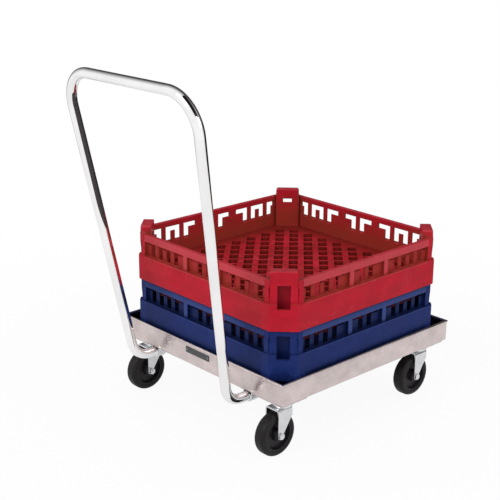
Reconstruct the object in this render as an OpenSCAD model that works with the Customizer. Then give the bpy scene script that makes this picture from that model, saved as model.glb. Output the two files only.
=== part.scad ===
// Glass rack dolly: a square aluminium angle frame on four swivel casters, with a bent
// tube push handle, carrying two stacked open plastic glass racks. Millimetres, +Z up,
// floor at z = 0. The handle is on the -Y side.

/* [Rack] */
// Width and depth of a rack across its rim
rack_w = 508; // [448:1:568]
// Height of a rack from the foot of its base to the top of its rim
rack_h = 145.5; // [132:0.5:170]
// Height of the base under the floor
base_h = 55; // [50:0.5:60]
// Thickness of the moulded walls
rack_t = 3; // [2.4:0.1:4]
// Depth of the floor's bars
floor_t = 12; // [6:0.5:14]
// Leg of the 45 degree cut across each corner
corner_cut = 42; // [38:1:48]
// How far the windowed wall is set in behind the rim
band_in = 8; // [6:0.5:10]
// Height of the rim's outer flange
flange_h = 16; // [10:0.5:20]
// How far the skirt stands out from the rim
skirt_out = 4; // [2:0.5:6]
// Gap between the skirt and the rim of the rack below
skirt_gap = 1; // [0.5:0.5:14]
// How far the base is set in from the rim
base_inset = 23; // [20:0.5:26]
// Gap between the base and the posts of the rack below
base_clear = 4; // [2:0.5:8]
// Height of the plain strip above the wall windows
rim_h = 12.5; // [8:0.5:18]
// Height of the wall windows
window_h = 37; // [28:1:42]
// Open height above the short fingers in the windows
finger_gap = 11; // [6:1:18]
// Plain wall between the last window and the corner
window_margin = 7; // [4:0.5:20]
// Width of the posts and fingers in the windows
bar_w = 13; // [8:0.5:16]
// Width of the solid columns between the window groups
column_w = 21; // [14:1:26]
// Width of the upright ribs that stand out from the windowed wall to the rim
rib_w = 13; // [8:0.5:13.5]
// Spacing of the floor's diagonal bars
cell_pitch = 35; // [28:0.5:44]
// Width of the holes between the main bars
floor_hole = 21; // [14:0.5:26]
// Length of the holes between the narrower cross bars
floor_slot = 28; // [18:0.5:30]
// Plain strip between the holes and the base wall
floor_edge = 4; // [2:0.5:12]

/* [Stacking posts] */
// Height of the stacking posts above the rim
post_rise = 18; // [14:1:26]
// Width of a stacking post across the corner
post_w = 58; // [44:1:58]
// Depth of a stacking post along the diagonal
post_d = 24; // [18:1:26]
// How far a post reaches below the floor
post_foot = 0.4; // [0.2:0.1:4]
// Radius of the post's upper corners
post_r = 6; // [2:0.5:9]
// Width of the window in the outer face of a post
post_window_w = 27; // [16:1:34]
// Height of that window, which runs down into the skirt
post_window_h = 50; // [30:1:56]
// Distance of that window below the rim
post_window_drop = 11.5; // [8:0.5:16]
// Width of the slot in the inner face of a post
post_slot_w = 22; // [12:1:30]
// Height of that slot
post_slot_h = 10; // [4:0.5:12]
// Distance of that slot below the rim
post_slot_drop = 4.5; // [3:0.5:10]

/* [Frame] */
// Height of the angle rails
rail_h = 50.8; // [40:0.1:64]
// Width of the ledge that carries the rack
rail_ledge = 50.8; // [44:0.1:60]
// Thickness of the angle rails
rail_t = 3.2; // [2.5:0.1:5]
// Outer radius of the rail's lower edge
rail_r = 4.5; // [3.6:0.1:7]
// Diameter of the bead along the rail's upper edge
bead_d = 7; // [5:0.5:9]
// Play between the rack's skirt and the rail
rack_play = 5.3; // [4:0.1:12]
// Side of the square corner gusset under the ledge
gusset_w = 76; // [74:1:80]
// Thickness of the corner gusset
gusset_t = 3.2; // [2.5:0.1:5]

/* [Casters] */
// Diameter of the wheel
wheel_d = 97; // [80:1:112]
// Width of the wheel
wheel_w = 28; // [22:1:30]
// Thickness of the tyre
tyre_t = 12; // [9:0.5:14]
// Radius of the tyre's shoulders
tyre_r = 8; // [3:0.5:8.5]
// Distance of the swivel axis from the outer faces of the frame
caster_inset = 46; // [43:0.5:48]
// Distance of the axle behind the swivel axis
trail = 22; // [16:1:26]
// Thickness of the pressed fork
fork_t = 3; // [2:0.1:3.5]
// Gap between the wheel and each fork leg
fork_gap = 3; // [2:0.1:5]
// Gap between the top of the wheel and the fork crown
crown_gap = 8; // [6.5:0.5:14]
// Radius of the fork leg's end round the axle
leg_r = 8; // [7:0.5:11]
// Outer bend radius between crown and legs
fork_r = 6; // [4.5:0.5:8]
// Height of the swivel head between crown and top plate
head_h = 15.8; // [14:0.2:26]
// Radius of the swivel head's dust cup
head_r = 22.5; // [21:0.5:23]
// Diameter of the swivel balls
ball_d = 5; // [4:0.5:6]
// Number of balls in a swivel head
ball_n = 12; // [8:1:14]
// Diameter of the kingpin
kingpin_d = 10; // [8:0.5:12]
// Diameter of the axle bolt
axle_d = 8; // [6:0.5:10]
// Outer diameter of the spanner bush on the axle
bush_d = 13; // [12:0.5:16]
// Side of the square top plate
plate_w = 60; // [58:1:66]
// Thickness of the top plate
plate_t = 3; // [2.5:0.1:5]
// Spacing of the plate's bolt holes
bolt_space = 44; // [43:0.5:47]
// Diameter of the caster bolts
bolt_d = 8; // [6:0.5:8]

/* [Handle] */
// Height of the push bar's centre above the floor
bar_z = 780; // [600:5:1000]
// Distance of each foot in from the frame's outer sides
foot_inset = 109.5; // [107:0.5:150]
// Distance of the lower bend's corner in front of the frame
foot_out = 52; // [48:1:80]
// Lean of the handle away from the frame
lean = 10.2; // [0:0.1:20]
// Splay of each leg
splay = 4.5; // [0:0.1:8]
// Outer diameter of the tube
tube_d = 22.2; // [19:0.1:25.4]
// Wall thickness of the tube
tube_t = 1.6; // [1:0.1:2.5]
// Centreline radius of the upper bends
bend_r = 75; // [50:1:100]
// Centreline radius of the lower bends
foot_r = 45; // [32:1:52]
// Length of foot under the ledge
foot_len = 42; // [38:0.5:46]
// Thickness of the saddle strap round each foot
strap_t = 2.5; // [2:0.1:4]
// Width of the saddle strap
strap_w = 20; // [14:1:22]
// Diameter of the strap bolts
strap_bolt_d = 5; // [4:0.5:6]
// Length of a plug inside its foot
plug_len = 12; // [8:0.5:20]
// Thickness of a plug's cap
plug_cap = 2; // [1.5:0.1:4]
// How far a plug's cap is smaller than the tube, in radius
plug_step = 0.5; // [0.4:0.1:1]

/* [Clearances] */
// Gap between pieces that rest on each other
rest_gap = 0.1; // [0.05:0.05:0.3]
// Gap round a pin or tube in its seat
pin_gap = 0.05; // [0.02:0.01:0.1]
// Gap between a bolt and its hole
bolt_gap = 0.25; // [0.1:0.05:0.4]
// Gap between turning parts of the swivel head
turn_gap = 0.4; // [0.3:0.05:0.6]

/* [Hidden] */
$fn = 64;
eps = 0.5;
corners = [[-1, -1], [1, -1], [1, 1], [-1, 1]];
per_caster = [
    "gusset", "caster_plate", "kingpin", "fork", "swivel_balls", "axle", "axle_nut",
    "spanner_bush", "wheel_core", "tyre"
];

// rack levels above its own foot
rack_half = rack_w / 2;
skirt_half = rack_half + skirt_out;
band_half = rack_half - band_in;
base_half = rack_half - base_inset;
floor_top = base_h + floor_t;
window_top = rack_h - rim_h;
window_bottom = window_top - window_h;
bar_pitch = (band_half - corner_cut - window_margin - bar_w / 2) / 7;
post_face = (2 * rack_half - corner_cut) / sqrt(2);
post_top = rack_h + post_rise;
post_seat = base_h - post_foot;
skirt_z = post_seat - post_rise - rest_gap + skirt_gap;
base_face = post_face - post_d - base_clear;
base_cut = 2 * base_half - base_face * sqrt(2);
stack_pitch = post_top + rest_gap - post_seat;

// caster levels above the floor
axle_z = wheel_d / 2;
crown_z = wheel_d + crown_gap;
head_z = crown_z + fork_t;
plate_z = head_z + head_h;
plate_top = plate_z + plate_t;
leg_x = wheel_w / 2 + fork_gap;
ball_z = head_z + head_h / 2;
race_gap = 1.6;
race_r = head_r - 1.6 - turn_gap;
ball_ring = (race_r + kingpin_d / 2) / 2 + 1.5;
core_r = axle_z - tyre_t;

// frame levels and places
frame_half = skirt_half + rack_play + rail_t;
frame_z = plate_top + gusset_t;
ledge_z = frame_z + rail_t;
bead_out = (bead_d - rail_t) / 2;
caster_at = frame_half - caster_inset;
lower_z = ledge_z + rest_gap;
upper_z = lower_z + stack_pitch;

// handle: corner points of the centreline, seen along the leaning plane
tube_r = tube_d / 2;
foot_x = frame_half - foot_inset;
foot_z = frame_z - rest_gap - tube_r;
rise = (bar_z - foot_z) / cos(lean);
bar_y = -(frame_half + foot_out + rise * sin(lean));
bar_half = foot_x + rise * tan(splay);
top_set = bend_r * tan((90 + splay) / 2);
leg_tilt = asin(cos(splay) * sin(lean));
leg_roll = atan2(sin(splay), cos(splay) * cos(lean));
foot_set = foot_r * tan((90 - leg_tilt) / 2);
leg_dir = [sin(splay), -cos(splay) * sin(lean), cos(splay) * cos(lean)];
foot_side = [sin(leg_tilt) * sin(leg_roll), cos(leg_tilt), sin(leg_tilt) * cos(leg_roll)];
top_side = [-cos(splay), -sin(splay) * sin(lean), sin(splay) * cos(lean)];
leg_twist = atan2(cross(leg_dir, foot_side) * top_side, foot_side * top_side);
lap = 0.6;
bend_thin = 0.1;
strap_y = -(frame_half - rail_t - strap_w / 2 - 2);
strap_bolt_x = tube_r + strap_t + strap_bolt_d + 1;

// the frame's centre lies back from the middle of the whole object, because the handle leans out
centre_y = (-bar_y + tube_r - frame_half - bead_out) / 2;

aluminium = [0.75, 0.72, 0.71];
chrome = [0.86, 0.87, 0.89];
zinc = [0.78, 0.79, 0.80];
black = [0.07, 0.07, 0.08];
steel = [0.6, 0.6, 0.62];

// square with cut corners
function cut_square(half, cut) = [
    for (q = [0:3], s = [-1, 1])
        let (a = half, b = half - cut, p = s < 0 ? [a, -b] : [a, b])
            [p.x * cos(90 * q) - p.y * sin(90 * q), p.x * sin(90 * q) + p.y * cos(90 * q)]
];

// wall of even thickness round a square with cut corners
module wall(half, cut, t, z0, z1) {
    translate([0, 0, z0])
        linear_extrude(z1 - z0)
            difference() {
                polygon(cut_square(half, cut));
                polygon(cut_square(half - t, cut - t * (2 - sqrt(2))));
            }
}

// hexagon prism along +Z, measured across its flats
module hexagon(flats, h) {
    cylinder(h = h, r = flats / sqrt(3), $fn = 6);
}

// square with rounded corners
module round_square(w, d, r) {
    square([w - 2 * r, d], center = true);
    square([w, d - 2 * r], center = true);
    for (x = [-1, 1], y = [-1, 1])
        translate([x * (w / 2 - r), y * (d / 2 - r)])
            circle(r);
}

// RACK

// openings of one half of a wall, drawn along the wall and upwards
module window_half() {
    opens = [
        [bar_w / 2, 2 * bar_pitch - column_w / 2],
        [2 * bar_pitch + column_w / 2, 4 * bar_pitch - bar_w / 2],
        [4 * bar_pitch + bar_w / 2, 6 * bar_pitch - bar_w / 2],
        [6 * bar_pitch + bar_w / 2, 7 * bar_pitch + bar_w / 2]
    ];
    for (o = opens)
        translate([o[0], window_top - finger_gap])
            square([o[1] - o[0], finger_gap]);
    for (k = [0, 3, 4, 5, 6])
        translate([k * bar_pitch + bar_w / 2, window_bottom])
            square([bar_pitch - bar_w, window_h]);
}

// the window pattern of two opposite walls
module windows() {
    rotate([90, 0, 0])
        linear_extrude(rack_w, center = true) {
            window_half();
            mirror([1, 0]) window_half();
        }
}

// floor with its diagonal grid: main bars one way, narrower cross bars the other way
module rack_floor() {
    reach = (base_half - rack_t - floor_edge) * sqrt(2) - (floor_hole + floor_slot) / 2;
    end = base_face - rack_t - floor_edge;
    n = ceil(reach / cell_pitch);
    places = [for (i = [-n:n - 1]) (i + 0.5) * cell_pitch];
    main = [for (u = places) if (abs(u) + floor_hole / 2 < end) u];
    crossing = [for (v = places) if (abs(v) + floor_slot / 2 < end) v];
    translate([0, 0, base_h])
        linear_extrude(floor_t)
            difference() {
                polygon(cut_square(band_half - eps, corner_cut));
                rotate(45)
                    for (u = main, v = crossing)
                        if (abs(u) + abs(v) < reach)
                            translate([u, v]) square([floor_hole, floor_slot], center = true);
            }
}

// outline of a stacking post, seen along the diagonal
module post_outline() {
    h = post_top - post_seat;
    translate([-post_w / 2, 0]) square([post_w, h - post_r]);
    translate([-post_w / 2 + post_r, 0]) square([post_w - 2 * post_r, h]);
    for (s = [-1, 1])
        translate([s * (post_w / 2 - post_r), h - post_r])
            circle(post_r);
}

// stacking post in the +X corner of a frame turned by 45 degrees
module post() {
    translate([post_face - post_d, 0, post_seat])
        rotate([90, 0, 90])
            linear_extrude(post_d)
                post_outline();
}

// hollow of a post, the window in its outer face and the slot in its inner face
module post_cuts() {
    inner = post_face - post_d;
    window_z = rack_h - post_window_drop - post_window_h;
    translate([inner + rack_t, -post_w / 2 + rack_t, floor_top])
        cube([post_d - 2 * rack_t, post_w - 2 * rack_t, post_top - rack_t - floor_top]);
    translate([post_face - rack_t - eps, -post_window_w / 2, window_z])
        cube([2 * (skirt_half - rack_half + rack_t), post_window_w, post_window_h]);
    translate([inner - eps, -post_slot_w / 2, rack_h - post_slot_drop - post_slot_h])
        cube([rack_t + 2 * eps, post_slot_w, post_slot_h]);
}

// windowed wall from the floor to the rim
module band() {
    difference() {
        wall(band_half, corner_cut, rack_t, base_h, rack_h);
        windows();
        rotate(90) windows();
    }
}

// upright ribs outside the windowed wall, at its solid columns and beside the posts
module ribs() {
    for (q = [0:3], x = [2 * bar_pitch, band_half - corner_cut], s = [-1, 1])
        rotate(90 * q)
            translate([band_half - rack_t / 2, s * x - rib_w / 2, window_bottom - rack_t / 2])
                cube([band_in + rack_t / 2, rib_w, window_h + rim_h]);
}

module rack() {
    difference() {
        union() {
            band();
            ribs();
            wall(rack_half, corner_cut, band_in + rack_t, rack_h - rack_t, rack_h);
            wall(rack_half, corner_cut, rack_t, rack_h - flange_h, rack_h);
            wall(skirt_half, corner_cut, skirt_out + band_in + rack_t, window_bottom - rack_t, window_bottom);
            wall(skirt_half, corner_cut, rack_t, skirt_z, window_bottom);
            wall(base_half, base_cut, rack_t, 0, base_h + eps);
            rack_floor();
            for (q = [0:3]) rotate(45 + 90 * q) post();
        }
        for (q = [0:3]) rotate(45 + 90 * q) post_cuts();
    }
}

module lower_rack() {
    color([0.10, 0.16, 0.42])
        translate([0, centre_y, lower_z])
            rack();
}

module upper_rack() {
    color([0.72, 0.10, 0.16])
        translate([0, centre_y, upper_z])
            rack();
}

// FRAME

// angle section: upright wall at the left, ledge at the foot, bead along the top
module rail_section() {
    translate([0, rail_r]) square([rail_t, rail_h - bead_d / 2 - rail_r]);
    translate([rail_r, 0]) square([rail_ledge - rail_r, rail_t]);
    intersection() {
        square(rail_r);
        translate([rail_r, rail_r])
            difference() {
                circle(rail_r);
                circle(rail_r - rail_t);
            }
    }
    translate([rail_t / 2, rail_h - bead_d / 2]) circle(bead_d / 2);
}

// hole places of the caster in corner c, from the frame's centre
function bolt_places(c) = [
    for (x = [-1, 1], y = [-1, 1])
        [c.x * caster_at + x * bolt_space / 2, c.y * caster_at + y * bolt_space / 2]
];

// hole places of the straps, from the frame's centre
strap_places = [for (s = [-1, 1], e = [-1, 1]) [s * foot_x + e * strap_bolt_x, strap_y]];

// holes through a plate of the frame
module holes(places, d, z0, z1) {
    for (p = places)
        translate([p.x, p.y, z0])
            cylinder(h = z1 - z0, d = d + 2 * bolt_gap);
}

// mitred rail on side q, where 0 is the handle's side
module rail(q) {
    big = frame_half + bead_d;
    color(aluminium)
        translate([0, centre_y, 0])
            difference() {
                rotate(90 * q)
                    intersection() {
                        translate([-big, -frame_half, frame_z])
                            rotate([90, 0, 90])
                                linear_extrude(2 * big)
                                    rail_section();
                        translate([0, 0, frame_z - eps])
                            linear_extrude(rail_h + 2 * eps)
                                polygon([[0, 0], [-big, -big], [big, -big]]);
                    }
                for (c = corners)
                    holes(bolt_places(c), bolt_d, frame_z - eps, ledge_z + eps);
                holes(strap_places, strap_bolt_d, frame_z - eps, ledge_z + eps);
            }
}

module gusset(i) {
    c = corners[i];
    at = frame_half - rail_r - gusset_w / 2;
    color(aluminium)
        translate([0, centre_y, 0])
            difference() {
                translate([c.x * at, c.y * at, plate_top])
                    linear_extrude(gusset_t)
                        round_square(gusset_w, gusset_w, 6);
                holes(bolt_places(c), bolt_d, plate_top - eps, frame_z + eps);
            }
}

// CASTERS

module at_caster(i) {
    c = corners[i];
    translate([c.x * caster_at, centre_y + c.y * caster_at, 0])
        children();
}

// top plate with the upper race and its dust cup
module caster_plate(i) {
    cup_z = head_z + race_gap;
    bolts = [for (x = [-1, 1], y = [-1, 1]) [x * bolt_space / 2, y * bolt_space / 2]];
    color(zinc)
        at_caster(i)
            difference() {
                union() {
                    translate([0, 0, plate_z])
                        linear_extrude(plate_t)
                            round_square(plate_w, plate_w, 6);
                    translate([0, 0, cup_z]) cylinder(h = plate_z - cup_z + eps, r = head_r);
                }
                translate([0, 0, cup_z - eps])
                    cylinder(h = ball_z + race_gap / 2 - cup_z + eps, r = race_r + turn_gap);
                swivel_groove();
                translate([0, 0, head_z])
                    cylinder(h = head_h + plate_t + eps, d = kingpin_d + 2 * pin_gap);
                holes(bolts, bolt_d, plate_z - eps, plate_top + eps);
            }
}

// ring groove in which the balls run
module swivel_groove() {
    translate([0, 0, ball_z])
        rotate_extrude()
            translate([ball_ring, 0])
                circle(ball_d / 2 + turn_gap);
}

module swivel_balls(i) {
    color(steel)
        at_caster(i)
            for (k = [0:ball_n - 1])
                rotate(360 * k / ball_n)
                    translate([ball_ring, 0, ball_z])
                        sphere(d = ball_d, $fn = 32);
}

// kingpin: rivet from under the crown up through the top plate
module kingpin(i) {
    cap_h = 4;
    color(zinc)
        at_caster(i) {
            translate([0, 0, crown_z - rest_gap - cap_h]) cylinder(h = cap_h, d = 1.6 * kingpin_d);
            translate([0, 0, crown_z - rest_gap - eps])
                cylinder(h = plate_top - crown_z + rest_gap + eps, d = kingpin_d);
        }
}

// cross-section of the pressed fork: crown and two legs with rounded bends
module fork_section() {
    outer = leg_x + fork_t;
    inner_r = fork_r - fork_t;
    difference() {
        union() {
            translate([-outer, 0]) square([2 * outer, head_z - fork_r]);
            translate([-outer + fork_r, 0]) square([2 * (outer - fork_r), head_z]);
            for (s = [-1, 1])
                translate([s * (outer - fork_r), head_z - fork_r]) circle(fork_r);
        }
        translate([-leg_x, -eps]) square([2 * leg_x, crown_z - inner_r + eps]);
        translate([-leg_x + inner_r, 0]) square([2 * (leg_x - inner_r), crown_z]);
        for (s = [-1, 1])
            translate([s * (leg_x - inner_r), crown_z - inner_r]) circle(inner_r);
    }
}

// side view of the fork: crown strip and legs that taper down to the axle
module fork_side() {
    front = race_r - 4;
    back = -trail - leg_r;
    knee = head_z - fork_r - 3;
    slope = atan2(front + trail, knee - axle_z);
    polygon([
        [back, head_z], [back, axle_z], [-trail, axle_z],
        [-trail + leg_r * cos(slope), axle_z + leg_r * sin(slope) * 0.4],
        [front, knee], [front, head_z]
    ]);
    translate([-trail, axle_z]) circle(leg_r);
    translate([back, knee]) square([race_r - back, head_z - knee]);
}

module fork(i) {
    outer = leg_x + fork_t;
    back = -trail - leg_r;
    race_top = ball_z - race_gap / 2;
    color(zinc)
        at_caster(i)
            difference() {
                union() {
                    intersection() {
                        translate([0, race_r, 0])
                            rotate([90, 0, 0])
                                linear_extrude(race_r - back)
                                    fork_section();
                        rotate([90, 0, 90])
                            linear_extrude(2 * outer, center = true)
                                fork_side();
                        linear_extrude(head_z) {
                            circle(race_r);
                            translate([-outer, back]) square([2 * outer, -back + race_r / 2]);
                        }
                    }
                    translate([0, 0, head_z - eps]) cylinder(h = race_top - head_z + eps, r = race_r);
                }
                swivel_groove();
                translate([0, 0, crown_z - eps])
                    cylinder(h = head_h + fork_t, d = kingpin_d + 2 * pin_gap);
                translate([-outer - eps, -trail, axle_z])
                    rotate([0, 90, 0])
                        cylinder(h = 2 * (outer + eps), d = axle_d + 2 * pin_gap);
            }
}

// axle bolt with a hexagon head outside the fork leg on the dolly's outer side
module axle(i) {
    outer = leg_x + fork_t;
    nut_h = 0.8 * axle_d;
    color(zinc)
        at_caster(i)
            translate([0, -trail, axle_z])
                rotate([0, 90 * corners[i].x, 0]) {
                    translate([0, 0, -outer - nut_h - 2])
                        cylinder(h = 2 * outer + nut_h + 2 + eps, d = axle_d);
                    translate([0, 0, outer]) hexagon(1.6 * axle_d, 0.45 * axle_d);
                }
}

module axle_nut(i) {
    outer = leg_x + fork_t;
    nut_h = 0.8 * axle_d;
    color(zinc)
        at_caster(i)
            translate([-corners[i].x * (outer + nut_h), -trail, axle_z])
                rotate([0, 90 * corners[i].x, 0])
                    difference() {
                        hexagon(1.6 * axle_d, nut_h);
                        translate([0, 0, -eps]) cylinder(h = nut_h + 2 * eps, d = axle_d + 2 * pin_gap);
                    }
}

// bush clamped between the legs, on which the wheel turns
module spanner_bush(i) {
    color(steel)
        at_caster(i)
            translate([-leg_x + rest_gap, -trail, axle_z])
                rotate([0, 90, 0])
                    difference() {
                        cylinder(h = 2 * (leg_x - rest_gap), d = bush_d);
                        translate([0, 0, -eps])
                            cylinder(h = 2 * leg_x + 2 * eps, d = axle_d + 2 * pin_gap);
                    }
}

// wheel core: boss on the bush, dished web and rim under the tyre
module wheel_core(i) {
    boss = leg_x - 0.6;
    rim = wheel_w / 2 - 1;
    web = wheel_w / 5;
    bore_r = bush_d / 2 + pin_gap;
    boss_r = bush_d / 2 + 6;
    color([0.10, 0.10, 0.11])
        at_caster(i)
            translate([0, -trail, axle_z])
                rotate([0, 90, 0])
                    rotate_extrude()
                        polygon([
                            [bore_r, -boss], [boss_r, -boss], [boss_r + 2, -web], [core_r - 6, -web],
                            [core_r - 4, -rim], [core_r, -rim], [core_r, rim], [core_r - 4, rim],
                            [core_r - 6, web], [boss_r + 2, web], [boss_r, boss], [bore_r, boss]
                        ]);
}

// half section of the tyre, which stands on the core
module tyre_section() {
    inner = core_r + pin_gap;
    intersection() {
        translate([inner, -wheel_w / 2]) square([axle_z - inner, wheel_w]);
        union() {
            translate([inner, -wheel_w / 2]) square([axle_z - tyre_r - inner, wheel_w]);
            translate([inner, -wheel_w / 2 + tyre_r]) square([axle_z - inner, wheel_w - 2 * tyre_r]);
            for (s = [-1, 1])
                translate([axle_z - tyre_r, s * (wheel_w / 2 - tyre_r)])
                    circle(tyre_r);
        }
    }
}

module tyre(i) {
    color(black)
        at_caster(i)
            translate([0, -trail, axle_z])
                rotate([0, 90, 0])
                    rotate_extrude()
                        tyre_section();
}

// a bolt stands on the ledge where there is one, and on the gusset inside it
function bolt_seat(p) =
    max(abs(p.x), abs(p.y)) > frame_half - rail_ledge ? ledge_z : frame_z;

module caster_bolts() {
    color(zinc)
        translate([0, centre_y, 0])
            for (c = corners, p = bolt_places(c))
                translate([p.x, p.y, 0]) {
                    translate([0, 0, bolt_seat(p)]) hexagon(1.6 * bolt_d, 0.6 * bolt_d);
                    translate([0, 0, plate_z - 1.1 * bolt_d])
                        cylinder(h = bolt_seat(p) - plate_z + 1.1 * bolt_d + eps, d = bolt_d);
                }
}

module caster_nuts() {
    nut_h = 0.8 * bolt_d;
    color(zinc)
        translate([0, centre_y, 0])
            for (c = corners, p = bolt_places(c))
                translate([p.x, p.y, plate_z - nut_h])
                    difference() {
                        hexagon(1.6 * bolt_d, nut_h);
                        translate([0, 0, -eps]) cylinder(h = nut_h + 2 * eps, d = bolt_d + 2 * pin_gap);
                    }
}

// HANDLE

// tube wall in section, thinned a little where the tube is bent
module tube_section(thin) {
    difference() {
        circle(tube_r - thin);
        circle(tube_r - tube_t + thin);
    }
}

// straight length of tube along +X, which laps a little over the bends at its ends
module run(length) {
    translate([-lap, 0, 0])
        rotate([90, 0, 90])
            linear_extrude(length + 2 * lap)
                tube_section(0);
}

// bend that starts along +X and turns towards +Y
module bend(r, turn) {
    translate([0, r, 0])
        rotate(-90)
            rotate_extrude(angle = turn)
                translate([r, 0])
                    tube_section(bend_thin);
}

// moves to the far end of a run
module after_run(length) {
    translate([length, 0, 0]) children();
}

// moves to the far end of a bend, with +X along the tube again
module after_bend(r, turn) {
    translate([r * sin(turn), r * (1 - cos(turn)), 0])
        rotate(turn)
            children();
}

// right leg of the handle, from the end of its foot to the end of its upper bend
module leg() {
    foot_run = foot_len + foot_out - foot_set;
    leg_run = rise / cos(splay) - foot_set - top_set;
    multmatrix([
        [0, sin(leg_roll), -cos(leg_roll), foot_x],
        [-1, 0, 0, foot_len - frame_half],
        [0, cos(leg_roll), sin(leg_roll), foot_z],
        [0, 0, 0, 1]
    ]) {
        after_run(lap) run(foot_run - lap);
        after_run(foot_run) {
            bend(foot_r, 90 - leg_tilt);
            after_bend(foot_r, 90 - leg_tilt) {
                run(leg_run);
                after_run(leg_run)
                    rotate([leg_twist, 0, 0])
                        bend(bend_r, 90 + splay);
            }
        }
    }
}

module handle_tube() {
    color(chrome)
        translate([0, centre_y, 0]) {
            leg();
            mirror([1, 0, 0]) leg();
            translate([top_set - bar_half, bar_y, bar_z]) run(2 * (bar_half - top_set));
        }
}

// plastic plugs in the ends of the feet
module handle_plugs() {
    plug_r = tube_r - tube_t - pin_gap;
    color(black)
        translate([0, centre_y, 0])
            for (s = [-1, 1])
                translate([s * foot_x, foot_len - frame_half, foot_z])
                    rotate([90, 0, 0]) {
                        translate([0, 0, -plug_cap])
                            cylinder(h = plug_cap - rest_gap, r = tube_r - plug_step);
                        translate([0, 0, -plug_cap]) cylinder(h = plug_cap + plug_len, r = plug_r);
                    }
}

// saddle straps that hold the feet up against the ledge
module handle_straps() {
    inner = tube_r + pin_gap;
    outer = inner + strap_t;
    ear = strap_bolt_x + strap_bolt_d;
    drop = frame_z - rest_gap - foot_z;
    color(zinc)
        translate([0, centre_y, 0])
            difference() {
                for (s = [-1, 1])
                    translate([s * foot_x, strap_y + strap_w / 2, foot_z])
                        rotate([90, 0, 0])
                            linear_extrude(strap_w)
                                difference() {
                                    union() {
                                        circle(outer);
                                        translate([-outer, 0]) square([2 * outer, drop]);
                                        translate([-ear, drop - strap_t]) square([2 * ear, strap_t]);
                                    }
                                    circle(inner);
                                    translate([-inner, 0]) square([2 * inner, drop + eps]);
                                    translate([-ear, drop]) square([2 * ear, outer]);
                                }
                holes(strap_places, strap_bolt_d, frame_z - 3 * strap_t, frame_z + eps);
            }
}

module strap_bolts() {
    nut_h = 0.8 * strap_bolt_d;
    low = frame_z - rest_gap - strap_t - nut_h - 2;
    color(zinc)
        translate([0, centre_y, 0])
            for (p = strap_places)
                translate([p.x, p.y, 0]) {
                    translate([0, 0, ledge_z]) hexagon(1.6 * strap_bolt_d, 0.6 * strap_bolt_d);
                    translate([0, 0, low]) cylinder(h = ledge_z - low + eps, d = strap_bolt_d);
                }
}

module strap_nuts() {
    nut_h = 0.8 * strap_bolt_d;
    color(zinc)
        translate([0, centre_y, 0])
            for (p = strap_places)
                translate([p.x, p.y, frame_z - rest_gap - strap_t - nut_h])
                    difference() {
                        hexagon(1.6 * strap_bolt_d, nut_h);
                        translate([0, 0, -eps])
                            cylinder(h = nut_h + 2 * eps, d = strap_bolt_d + 2 * pin_gap);
                    }
}

rail(0);  // rail_handle_side
rail(1);  // rail_right
rail(2);  // rail_far_side
rail(3);  // rail_left
for (i = [1:4]) {
    gusset(i - 1);
    caster_plate(i - 1);
    kingpin(i - 1);
    fork(i - 1);
    swivel_balls(i - 1);
    axle(i - 1);
    axle_nut(i - 1);
    spanner_bush(i - 1);
    wheel_core(i - 1);
    tyre(i - 1);
}
caster_bolts();
caster_nuts();
handle_tube();
handle_plugs();
handle_straps();
strap_bolts();
strap_nuts();
lower_rack();
upper_rack();
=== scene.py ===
"""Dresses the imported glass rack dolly: finishes for its CAD pieces, a bare plate and the stage."""

import math

import bmesh
import bpy
from bpy.props import FloatProperty, FloatVectorProperty, PointerProperty
from mathutils import Matrix, Vector


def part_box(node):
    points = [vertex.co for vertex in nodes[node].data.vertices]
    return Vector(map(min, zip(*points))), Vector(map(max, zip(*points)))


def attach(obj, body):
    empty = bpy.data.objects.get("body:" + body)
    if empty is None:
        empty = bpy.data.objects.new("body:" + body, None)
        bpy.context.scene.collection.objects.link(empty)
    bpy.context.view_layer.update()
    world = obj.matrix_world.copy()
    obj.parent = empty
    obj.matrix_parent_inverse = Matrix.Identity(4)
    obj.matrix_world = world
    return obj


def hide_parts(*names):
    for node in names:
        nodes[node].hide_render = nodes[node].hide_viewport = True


bl_info = {
    "name": "Glass rack dolly",
    "version": (1, 0, 0),
    "blender": (4, 5, 0),
    "location": "View3D > Sidebar > Rack dolly",
    "description": "Finishes and small pieces for a glass rack dolly",
    "category": "Object",
}

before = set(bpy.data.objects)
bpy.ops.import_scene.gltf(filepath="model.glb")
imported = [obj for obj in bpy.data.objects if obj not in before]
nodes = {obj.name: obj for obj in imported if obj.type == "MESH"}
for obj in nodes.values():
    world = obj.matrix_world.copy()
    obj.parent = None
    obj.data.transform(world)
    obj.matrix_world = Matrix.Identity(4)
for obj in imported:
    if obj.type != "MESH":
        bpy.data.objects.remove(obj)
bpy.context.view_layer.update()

# Where the values of a noise mostly lie
NOISE_LOW, NOISE_HIGH = 0.3, 0.7
# Dust that settles on the racks and on the tyres
RACK_DUST = (0.45, 0.42, 0.40)
TYRE_DUST = (0.11, 0.10, 0.09)
# The rails' flat faces lie this far behind their bead
BEAD_DEPTH = 0.0019
# Rounding of the bare plate's corners and of its front edge
PLATE_CORNER, PLATE_EDGE = 0.0016, 0.00025
# Rivets: how far in from the plate's ends, and their height as a share of the radius
RIVET_INSET, RIVET_DOME = 0.0045, 0.45
# A rack's points closer than this are one point, and its edges sharper than this are rounded
ONE_POINT, SHARP_EDGE = 1e-5, math.radians(30)
# The hollow of a rack's post: how far in from the corner it reaches, and how far behind the rim it lies
POST_DEPTH, WALL_DEPTH = 0.03, 0.01
# The floor: its radius and colour, how much of its white metal sees, the distances between which it
# turns white to the camera, and how white it is there
FLOOR_RADIUS, FLOOR_COLOUR, FLOOR_MIRRORED = 1.8, (0.86, 0.86, 0.86, 1), 0.6
FLOOR_WHITENS, FLOOR_WHITE = (0.7, 1.5), (0.93, 1.0)
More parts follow.
